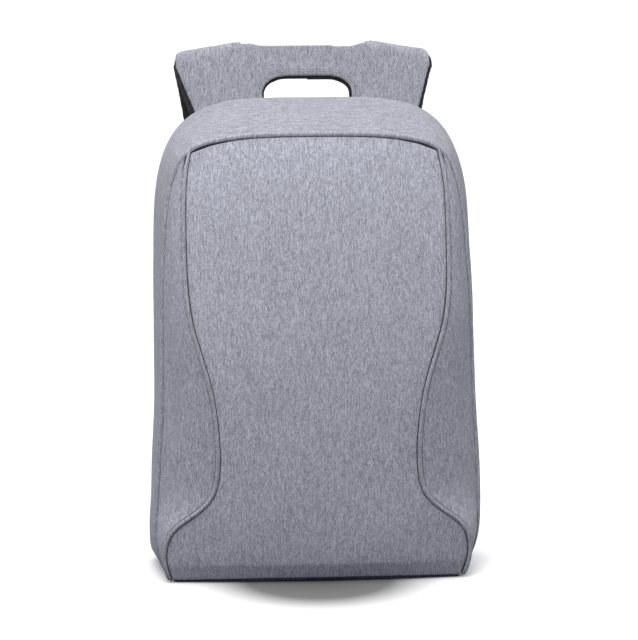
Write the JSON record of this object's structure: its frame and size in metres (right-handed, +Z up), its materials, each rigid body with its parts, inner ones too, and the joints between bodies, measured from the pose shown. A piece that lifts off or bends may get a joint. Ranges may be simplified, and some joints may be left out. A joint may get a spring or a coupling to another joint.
{
  "type": "anti-theft backpack",
  "caption": "Slim upright backpack with a smooth clamshell front, curved piped seams, a yoke with a grip hole and padded shoulder straps.",
  "frame": {"origin": "on the floor, under the middle of the whole backpack with its straps", "axes": "+Z up, the smooth front faces -Y, +X to the right as seen from the front"},
  "size_m": [0.297, 0.1792, 0.466],
  "materials": {
    "grey_fabric": "matt heathered twill, foam backed",
    "piping": "matt fabric-covered cord",
    "base_fabric": "matt heathered twill",
    "black_mesh": "matt padded spacer mesh",
    "webbing": "ribbed woven tape",
    "buckle_plastic": "moulded, slightly glossy",
    "slider_metal": "dark plated"
  },
  "bodies": {
    "root": {"front_panel": "grey_fabric", "side_panel_left": "grey_fabric", "side_panel_right": "grey_fabric", "gusset": "grey_fabric", "harness": "grey_fabric", "edge_piping": "piping", "front_piping_left": "piping", "front_piping_right": "piping", "bottom_panel": "base_fabric", "back_panel": "black_mesh", "harness_lining": "black_mesh", "main_zip": "webbing", "strap_tab_left": "webbing", "strap_tab_right": "webbing", "webbing_left": "webbing", "webbing_right": "webbing", "anchor_tab_left": "webbing", "anchor_tab_right": "webbing", "strap_adjuster_left": "buckle_plastic", "strap_adjuster_right": "buckle_plastic", "zip_slider": "slider_metal"}
  },
  "joints": []
}
